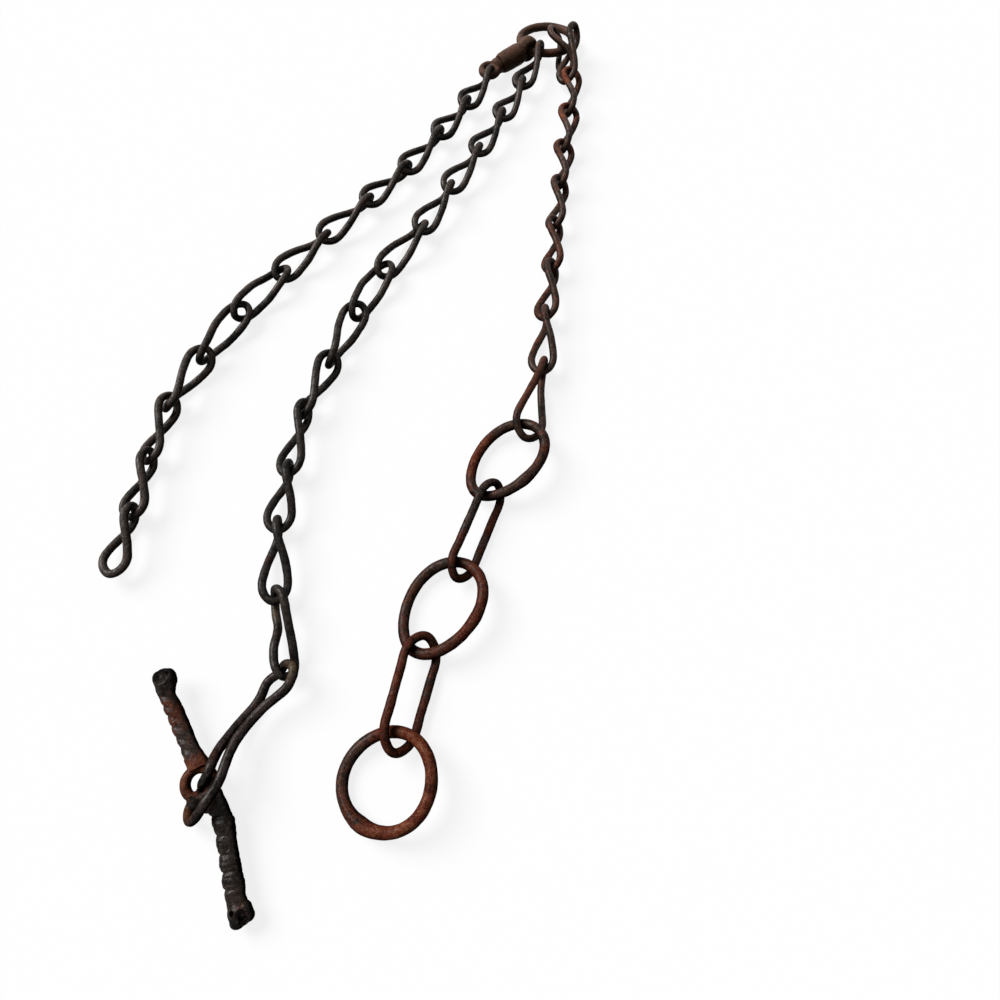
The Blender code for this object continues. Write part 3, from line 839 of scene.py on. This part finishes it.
# %% The barrel, with its eye round the ring
SWIVEL_CELL = 0.30 * MM
barrel_profile = [(0, -4.0), (5.2, -4.4), (6.9, -6.5), (7.5, -10), (7.4, -20), (7.0, -25.2),
                  (6.2, -27.2), (4.3, -27.5), (3.9, -26.4), (3.9, -20.8), (5.3, -20.5),
                  (5.3, -12.8), (0, -12.5)]
shapes = [(turned_shape(barrel_profile), swivel_place),
          (eye_shape(6.3 * MM, 2.7 * MM, 4.6 * MM, 48), eye_round_ring),
          (ball_shape((0, 4.5, 0), (3.0, 1.4, 4.6)),
           eye_round_ring @ Matrix.Rotation(math.radians(55), 4, "Z"))]
barrel_skin = one_skin("swivel_barrel_iron", [part_mesh(s, p) for s, p in shapes], SWIVEL_CELL, 6)
points = make_room("swivel_barrel", read_points(barrel_skin))
write_points(barrel_skin, points)
barrel_rust = np.clip(0.30 + 0.25 * waves(points, 7 * MM, 6.6), 0, 1)
weather("swivel_barrel", barrel_skin, barrel_rust, np.ones(len(points)))

# %% The shank, with its pin, collar and eye
shank_profile = [(0, -15.4), (4.2, -15.4), (5.0, -16.4), (5.0, -20.1), (3.6, -20.2), (3.6, -27.8),
                 (4.9, -27.8), (5.7, -28.8), (5.7, -31.2), (4.6, -33.0), (0, -33.5)]
shapes = [(turned_shape(shank_profile), swivel_place),
          (eye_shape(5.8 * MM, 2.55 * MM, 3.0 * MM, 48),
           flat_at @ Matrix.Translation(in_mm((-37.6, 0, 0)))),
          (ball_shape((-32.6, 0, 0), (3.4, 5.0, 3.6)), flat_at),
          (ball_shape((-34.6, -3.6, 0), (3.4, 2.6, 3.2)), flat_at)]
shank_skin = one_skin("swivel_shank_iron", [part_mesh(s, p) for s, p in shapes], SWIVEL_CELL, 5)
points = make_room("swivel_shank", read_points(shank_skin))
write_points(shank_skin, points)
from_eye = np.linalg.norm(points - np.array(flat_at @ Vector((-35.5 * MM, 0, 0))), axis=1)
shank_rust = 0.30 + 0.65 * np.clip(1 - from_eye / (6 * MM), 0, 1)
weather("swivel_shank", shank_skin, shank_rust, np.ones(len(points)))

# %% [markdown]
# ## Old iron
#
# The chain isn't one brown. Under everything is the black scale of the forge. Handling
# has worn it to a soft grey in places, damp has left a thin brown film in broad patches,
# and where water stood the red rust has broken through in crusts that are orange where
# they are youngest. Neighbours have rubbed each other smooth where they meet, the small
# pits hold black dirt, and pale dust lies on top.
#
# A picture wrapped round the rods could show this, but each rod would need its own. Noise
# in the solid space of the chain needs no wrapping and never shows a seam. The layers are
# the same on every piece, so they are one node group, and each finish gives it colours and
# amounts of its own. It is steered by the rust, tone, clay, rub and hollow values that the
# points keep.
#
# The sides of a rod are painted darker than its top. This painted shade follows the way each surface
# faces. The soft gleam is a thin coat that lies only on what faces up.

# %% The group of iron and rust layers
layers = bpy.data.node_groups.new("iron_and_rust", "ShaderNodeTree")
# One input sets how light the painted shade leaves the sides of a rod, against its top.
for key, kind, start in (
        ("Rust", "NodeSocketFloat", 0.3), ("Tone", "NodeSocketFloat", 1.0),
        ("Clay", "NodeSocketFloat", 0.0), ("Rub", "NodeSocketFloat", 0.0),
        ("Hollow", "NodeSocketFloat", 0.0), ("Painted Side Shade", "NodeSocketFloat", 0.22),
        ("Film", "NodeSocketFloat", 0.5), ("Dust", "NodeSocketFloat", 0.2),
        ("Scale Black", "NodeSocketColor", None),
        ("Worn Grey", "NodeSocketColor", None), ("Film Brown", "NodeSocketColor", None),
        ("Rust Red", "NodeSocketColor", None), ("Rust Orange", "NodeSocketColor", None),
        ("Dust Colour", "NodeSocketColor", None)):
    socket = layers.interface.new_socket(key, in_out="INPUT", socket_type=kind)
    if start is not None:
        socket.default_value = start
for key, kind in (("Colour", "NodeSocketColor"), ("Roughness", "NodeSocketFloat"),
                  ("Metal", "NodeSocketFloat"), ("Sheen", "NodeSocketFloat"),
                  ("Height", "NodeSocketFloat")):
    layers.interface.new_socket(key, in_out="OUTPUT", socket_type=kind)
given = layers.nodes.new("NodeGroupInput").outputs
result = layers.nodes.new("NodeGroupOutput").inputs
place = layers.nodes.new("ShaderNodeTexCoord").outputs["Object"]
facing = layers.nodes.new("ShaderNodeSeparateXYZ")
layers.links.new(layers.nodes.new("ShaderNodeNewGeometry").outputs["Normal"], facing.inputs[0])
upward = facing.outputs["Z"]
print("layer inputs:", sum(item.in_out == "INPUT" for item in layers.interface.items_tree))


# %% Small helpers for the group's nodes
def add_noise(scale, detail, roughness=0.6, distortion=0.0):
    """Noise between 0 and 1. scale counts its features to the metre."""
    node = layers.nodes.new("ShaderNodeTexNoise")
    node.inputs["Scale"].default_value = scale
    node.inputs["Detail"].default_value = detail
    node.inputs["Roughness"].default_value = roughness
    node.inputs["Distortion"].default_value = distortion
    layers.links.new(place, node.inputs["Vector"])
    return node.outputs["Fac"]


def add_step(value, low, high, to_low=0.0, to_high=1.0):
    """A soft step: to_low below low, to_high above high, smooth between."""
    node = layers.nodes.new("ShaderNodeMapRange")
    node.interpolation_type = "SMOOTHSTEP"
    layers.links.new(value, node.inputs["Value"])
    for key, number in (("From Min", low), ("From Max", high), ("To Min", to_low), ("To Max", to_high)):
        node.inputs[key].default_value = number
    return node.outputs["Result"]


def add_math(kind, a, b):
    """A sum of that kind, of two values that are numbers or sockets."""
    node = layers.nodes.new("ShaderNodeMath")
    node.operation = kind
    for socket, value in zip(node.inputs, (a, b)):
        if isinstance(value, (int, float)):
            socket.default_value = value
        else:
            layers.links.new(value, socket)
    return node.outputs[0]


def plus(a, b):
    """a + b in nodes."""
    return add_math("ADD", a, b)


def minus(a, b):
    """a - b in nodes."""
    return add_math("SUBTRACT", a, b)


def times(a, b):
    """a * b in nodes."""
    return add_math("MULTIPLY", a, b)


def add_mix(amount, a, b, blend="MIX"):
    """A colour mix from a to b."""
    node = layers.nodes.new("ShaderNodeMix")
    node.data_type = "RGBA"
    node.blend_type = blend
    for key, value in ((0, amount), (6, a), (7, b)):
        if isinstance(value, (int, float)):
            node.inputs[key].default_value = value
        elif isinstance(value, tuple):
            node.inputs[key].default_value = (*value, 1)
        else:
            layers.links.new(value, node.inputs[key])
    return node.outputs[2]


# %% [markdown]
# Four noises are enough: broad patches of film about 10 mm across, rust patches of 5 mm,
# a mottle of 2 mm, and a grain finer than half a millimetre. Black specks are scattered
# over them.

# %% Noises and masks
broad = add_noise(95, 4, 0.6, 0.3)
patch = add_noise(210, 6, 0.68, 0.6)
mottle = add_noise(520, 5, 0.65)
grain = add_noise(2600, 4, 0.6)
cells = layers.nodes.new("ShaderNodeTexVoronoi")
cells.inputs["Scale"].default_value = 620
layers.links.new(place, cells.inputs["Vector"])
speck = add_step(cells.outputs["Distance"], 0.10, 0.34, 1.0, 0.0)
crust = plus(times(given["Rust"], 0.95), times(minus(patch, 0.5), 1.7))
crust = plus(crust, times(minus(mottle, 0.5), 0.7))
rusty = add_step(crust, 0.34, 0.80)
young = add_step(plus(crust, times(minus(grain, 0.5), 0.8)), 0.72, 1.25)
print("nodes for noises and masks:", len(layers.nodes))

# %% Colour, from the black scale up
CLAY_COLOUR = (0.165, 0.110, 0.052)
RUBBED_COLOUR = (0.040, 0.036, 0.034)
worn = add_step(plus(times(mottle, 0.55), times(broad, 0.45)), 0.41, 0.60)
colour = add_mix(worn, given["Scale Black"], given["Worn Grey"])
film = times(add_step(broad, 0.38, 0.62), given["Film"])
colour = add_mix(film, colour, given["Film Brown"])
clay = times(given["Clay"], add_step(patch, 0.30, 0.55))
colour = add_mix(clay, colour, CLAY_COLOUR)
warm = add_mix(young, given["Rust Red"], given["Rust Orange"])
colour = add_mix(rusty, colour, warm)
lying = times(add_step(upward, 0.35, 0.95), add_step(plus(grain, times(patch, 0.5)), 0.74, 0.98))
colour = add_mix(times(lying, given["Dust"]), colour, given["Dust Colour"])
bright = times(add_step(given["Rub"], 0.45, 0.95), add_step(mottle, 0.36, 0.58))
colour = add_mix(times(bright, 0.6), colour, RUBBED_COLOUR)
print("and with the colours:", len(layers.nodes))

# %% Shade, from the grain, the hollows and the tone, with painted shade on the sides of the rods
shade = add_step(grain, 0.32, 0.68, 0.60, 1.40)
shade = times(shade, add_step(given["Hollow"], 0.05, 0.9, 1.0, 0.45))
# Painted shade: the colour darkens as the surface turns from facing up to facing sideways, down to the
# level each finish gives for the sides, and is a little lighter on top.
painted_light_on_top = times(add_step(upward, -0.15, 0.92), minus(1.12, given["Painted Side Shade"]))
shade = times(shade, plus(painted_light_on_top, given["Painted Side Shade"]))
shade = times(shade, given["Tone"])
black_speck = times(speck, add_step(patch, 0.45, 0.65))
shade = times(shade, minus(1.0, times(black_speck, 0.45)))
tone = layers.nodes.new("ShaderNodeCombineColor")
for socket in tone.inputs:
    layers.links.new(shade, socket)
colour = add_mix(1.0, colour, tone.outputs[0], "MULTIPLY")
layers.links.new(colour, result["Colour"])
print("and with the shade:", len(layers.nodes))

# %% Gloss, metal and fine height
rough = add_step(mottle, 0.3, 0.7, 0.46, 0.66)
rough = plus(rough, times(rusty, 0.26))
rough = minus(rough, times(bright, 0.14))
layers.links.new(rough, result["Roughness"])
layers.links.new(times(bright, 0.35), result["Metal"])
sheen = times(add_step(upward, 0.30, 0.85), add_step(worn, 0.0, 1.0, 0.35, 1.0))
sheen = times(sheen, add_step(rusty, 0.0, 1.0, 1.0, 0.45))
sheen = times(sheen, add_step(grain, 0.36, 0.62, 0.45, 1.0))
layers.links.new(sheen, result["Sheen"])
height = times(mottle, 0.55)
height = plus(height, times(grain, 0.30))
height = plus(height, times(rusty, 0.22))
height = minus(height, times(black_speck, 0.35))
layers.links.new(height, result["Height"])
print("group nodes:", len(layers.nodes))

# %% [markdown]
# ### The finishes
#
# Seven finishes share the layers: dark iron for the left and middle strands, a redder one
# for the right strand, a paler brown for the swivel and its ring, and one each for the end
# rings, the ovals, the long link and the toggle. Any of them can be changed alone.


# %% One finish for each slot of the record
def old_iron(slot, film, dust, relief, gloss, haze, sides, black, grey, brown, red, orange, dusty):
    """A finish made from the layers, with its own colours and amounts.

    relief is how deep the fine bumps are, gloss how strong the gleam on top is, haze how much the bare
    iron gleams, and sides how light the painted shade leaves the sides of a rod.
    """
    material = bpy.data.materials.new(slot)
    material.use_nodes = True
    tree = material.node_tree
    shader = tree.nodes["Principled BSDF"]
    shader.inputs["Specular IOR Level"].default_value = haze
    shader.inputs["Coat IOR"].default_value = gloss
    shader.inputs["Coat Roughness"].default_value = 0.32
    look = tree.nodes.new("ShaderNodeGroup")
    look.node_tree = layers
    for key in ("rust", "tone", "clay", "rub", "hollow"):
        kept = tree.nodes.new("ShaderNodeAttribute")
        kept.attribute_name = key
        tree.links.new(kept.outputs["Fac"], look.inputs[key.title()])
    look.inputs["Film"].default_value = film
    look.inputs["Dust"].default_value = dust
    look.inputs["Painted Side Shade"].default_value = sides
    for key, value in (("Scale Black", black), ("Worn Grey", grey), ("Film Brown", brown),
                       ("Rust Red", red), ("Rust Orange", orange), ("Dust Colour", dusty)):
        look.inputs[key].default_value = (*value, 1)
    tree.links.new(look.outputs["Colour"], shader.inputs["Base Color"])
    tree.links.new(look.outputs["Roughness"], shader.inputs["Roughness"])
    tree.links.new(look.outputs["Metal"], shader.inputs["Metallic"])
    tree.links.new(look.outputs["Sheen"], shader.inputs["Coat Weight"])
    bump = tree.nodes.new("ShaderNodeBump")
    bump.inputs["Distance"].default_value = relief
    tree.links.new(look.outputs["Height"], bump.inputs["Height"])
    tree.links.new(bump.outputs["Normal"], shader.inputs["Normal"])
    return material


# %% The seven finishes
# In each finish, sides is how light the painted shade leaves the sides of a rod.
looks = {
    "dark_link_iron": dict(
        film=0.55, dust=0.45, relief=0.34 * MM, gloss=1.28, haze=0.02, sides=0.22,
        black=(0.010, 0.0080, 0.0068), grey=(0.053, 0.044, 0.036), brown=(0.040, 0.022, 0.016),
        red=(0.086, 0.028, 0.016), orange=(0.16, 0.063, 0.031), dusty=(0.19, 0.163, 0.136)),
    "red_link_iron": dict(
        film=0.75, dust=0.42, relief=0.34 * MM, gloss=1.24, haze=0.02, sides=0.28,
        black=(0.015, 0.0098, 0.0072), grey=(0.062, 0.041, 0.030), brown=(0.054, 0.026, 0.017),
        red=(0.135, 0.036, 0.019), orange=(0.27, 0.10, 0.053), dusty=(0.21, 0.15, 0.11)),
    "swivel_iron": dict(
        film=0.80, dust=0.15, relief=0.26 * MM, gloss=1.12, haze=0.03, sides=0.7,
        black=(0.064, 0.035, 0.024), grey=(0.100, 0.060, 0.042), brown=(0.100, 0.049, 0.032),
        red=(0.140, 0.043, 0.024), orange=(0.20, 0.086, 0.044), dusty=(0.19, 0.14, 0.10)),
    "ring_iron": dict(
        film=0.75, dust=0.45, relief=0.38 * MM, gloss=1.24, haze=0.0, sides=0.22,
        black=(0.011, 0.0068, 0.0050), grey=(0.047, 0.030, 0.021), brown=(0.044, 0.018, 0.010),
        red=(0.105, 0.019, 0.0085), orange=(0.23, 0.068, 0.026), dusty=(0.22, 0.155, 0.11)),
    "oval_iron": dict(
        film=0.75, dust=0.42, relief=0.36 * MM, gloss=1.24, haze=0.0, sides=0.22,
        black=(0.010, 0.0066, 0.0050), grey=(0.046, 0.031, 0.022), brown=(0.043, 0.019, 0.011),
        red=(0.092, 0.017, 0.0075), orange=(0.19, 0.055, 0.022), dusty=(0.20, 0.145, 0.105)),
    "long_link_iron": dict(
        film=0.65, dust=0.35, relief=0.26 * MM, gloss=1.30, haze=0.0, sides=0.18,
        black=(0.010, 0.0078, 0.0068), grey=(0.070, 0.051, 0.044), brown=(0.046, 0.020, 0.017),
        red=(0.105, 0.036, 0.018), orange=(0.21, 0.095, 0.040), dusty=(0.21, 0.17, 0.145)),
    "toggle_iron": dict(
        film=0.75, dust=0.30, relief=0.34 * MM, gloss=1.28, haze=0.0, sides=0.22,
        black=(0.009, 0.0066, 0.0054), grey=(0.044, 0.034, 0.028), brown=(0.038, 0.020, 0.015),
        red=(0.105, 0.028, 0.014), orange=(0.19, 0.066, 0.029), dusty=(0.18, 0.135, 0.10)),
}
finishes = {slot: old_iron(slot, **look) for slot, look in looks.items()}
for name, piece in made.items():
    piece.data.materials.append(finishes[slot_of(name)])
print("finishes:", sorted(finishes))
